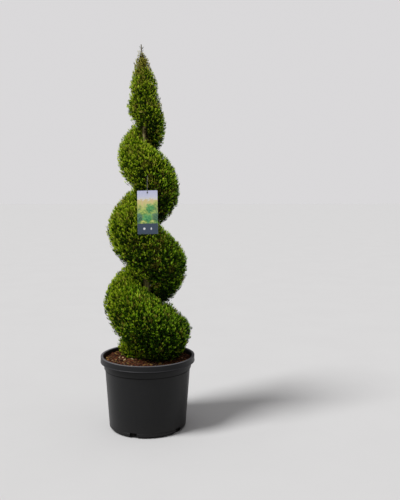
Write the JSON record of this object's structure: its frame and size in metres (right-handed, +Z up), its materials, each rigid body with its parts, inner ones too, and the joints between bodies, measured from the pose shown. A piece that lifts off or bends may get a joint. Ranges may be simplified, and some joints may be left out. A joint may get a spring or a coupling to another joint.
{
  "type": "spiral topiary",
  "caption": "Evergreen conifer clipped to a rising spiral of dense foliage round its trunk, ending in a spire, in a round nursery pot with a hanging label.",
  "frame": {"origin": "middle of the pot's underside, on the surface it stands on", "axes": "+Z up along the plant; the label hangs at the front, towards -Y; +X is to the viewer's right"},
  "size_m": [0.393, 0.393, 1.6],
  "materials": {
    "foliage": "dense short evergreen shoots, yellow-green at the tips and dark between them",
    "spire_foliage": "the same shoots with an olive brown tint towards the top",
    "bark": "thin tan bark in lengthwise strips",
    "pot": "black moulded plastic with a soft sheen",
    "soil": "moist red-brown bark and peat mix",
    "label": "printed card with a soft gloss",
    "thread": "thin pale thread"
  },
  "bodies": {
    "root": {"turn_1_left": "foliage", "turn_1_back": "foliage", "turn_1_right": "foliage", "turn_1_front": "foliage", "turn_2_left": "foliage", "turn_2_back": "foliage", "turn_2_right": "foliage", "turn_2_front": "foliage", "turn_3_left": "foliage", "turn_3_back": "foliage", "turn_3_right": "foliage", "turn_3_front": "foliage", "turn_4_left": "foliage", "turn_4_back": "foliage", "turn_4_right": "foliage", "turn_4_front": "foliage", "turn_5_left": "foliage", "turn_5_back": "foliage", "turn_5_right": "foliage", "trunk": "bark", "pot": "pot", "soil": "soil", "spire": "spire_foliage", "label": "label", "label_thread": "thread"}
  },
  "joints": []
}
